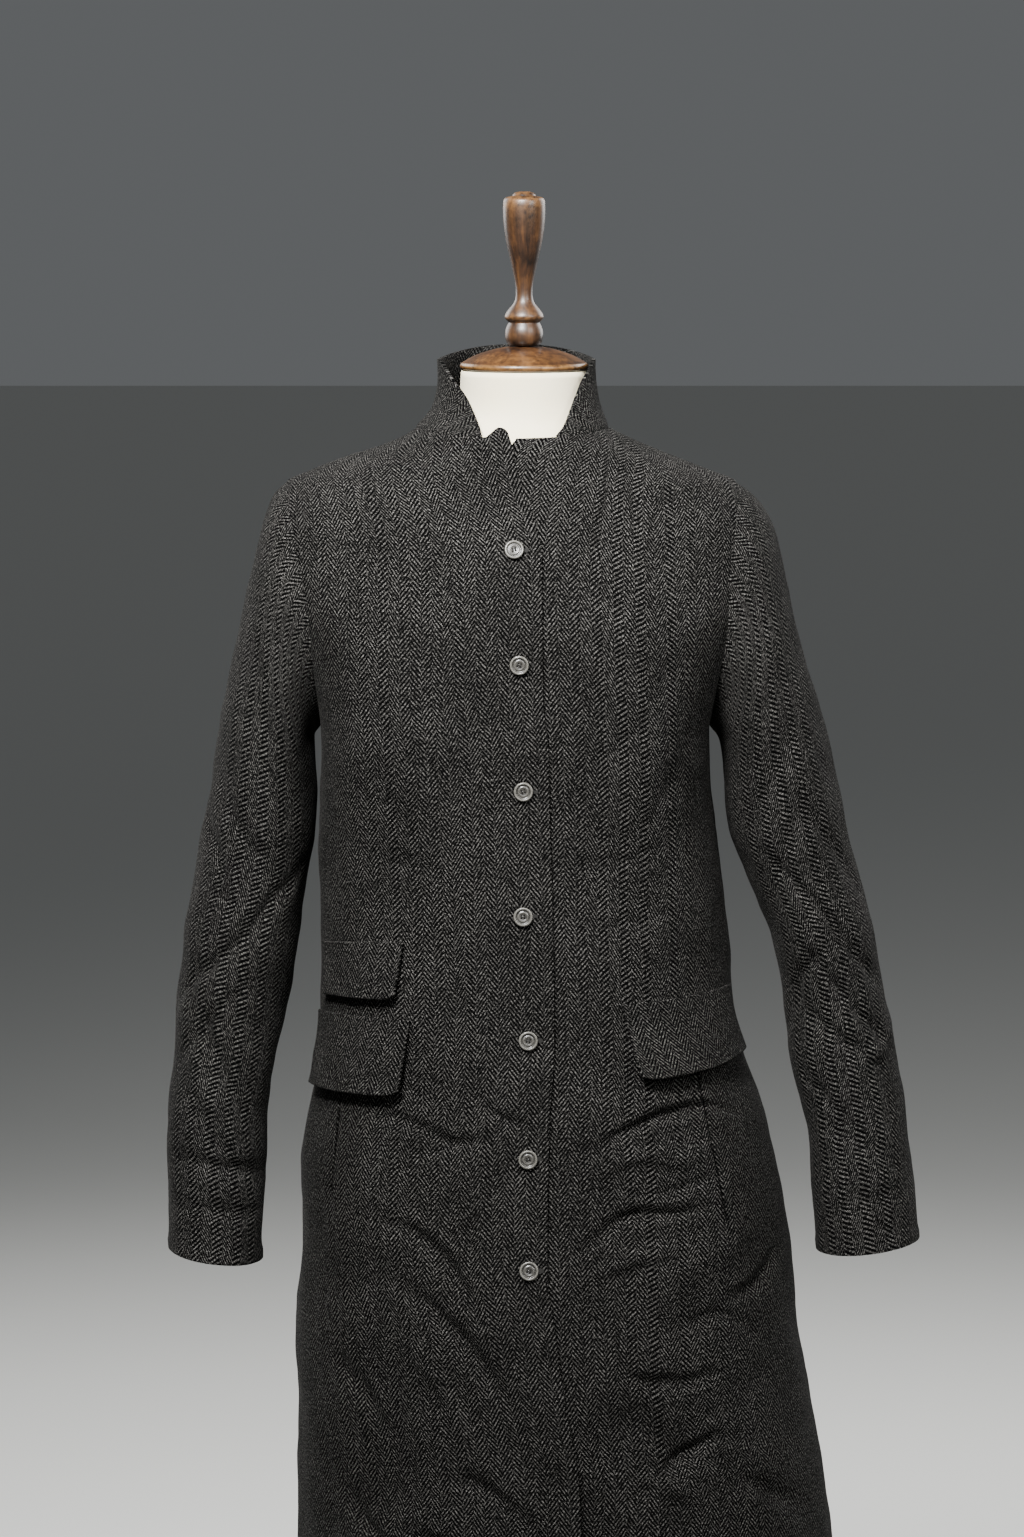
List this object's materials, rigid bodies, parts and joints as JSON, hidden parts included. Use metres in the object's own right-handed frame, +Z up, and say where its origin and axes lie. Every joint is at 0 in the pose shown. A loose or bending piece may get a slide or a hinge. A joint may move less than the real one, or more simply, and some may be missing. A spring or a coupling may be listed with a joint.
{
  "type": "wool overcoat on a limbless dress form",
  "caption": "Single-breasted herringbone wool overcoat with a stand collar and flap pockets, worn on a limbless dress form with a turned wooden knob and a round stand.",
  "frame": {"origin": "middle of the base's flat underside, which rests on the floor", "axes": "+Z up, -Y is the front of the coat, +X is the wearer's left"},
  "size_m": [0.601, 0.3604, 1.5722],
  "materials": {
    "wool": "napped charcoal herringbone wool",
    "flap_wool": "napped charcoal herringbone wool, doubled and stitched",
    "button_horn": "polished grey horn look",
    "form_cotton": "plain unbleached cotton",
    "turned_wood": "turned and varnished, worn rims",
    "stand_wood": "turned and varnished"
  },
  "bodies": {
    "root": {"front_right": "wool", "front_left": "wool", "back": "wool", "sleeve_right": "wool", "sleeve_left": "wool", "collar": "wool", "ticket_flap": "flap_wool", "flap_right": "flap_wool", "flap_left": "flap_wool", "button_1": "button_horn", "button_2": "button_horn", "button_3": "button_horn", "button_4": "button_horn", "button_5": "button_horn", "button_6": "button_horn", "button_7": "button_horn", "form_torso": "form_cotton", "neck_cap": "turned_wood", "finial": "turned_wood", "pole": "stand_wood", "base": "stand_wood"}
  },
  "joints": []
}
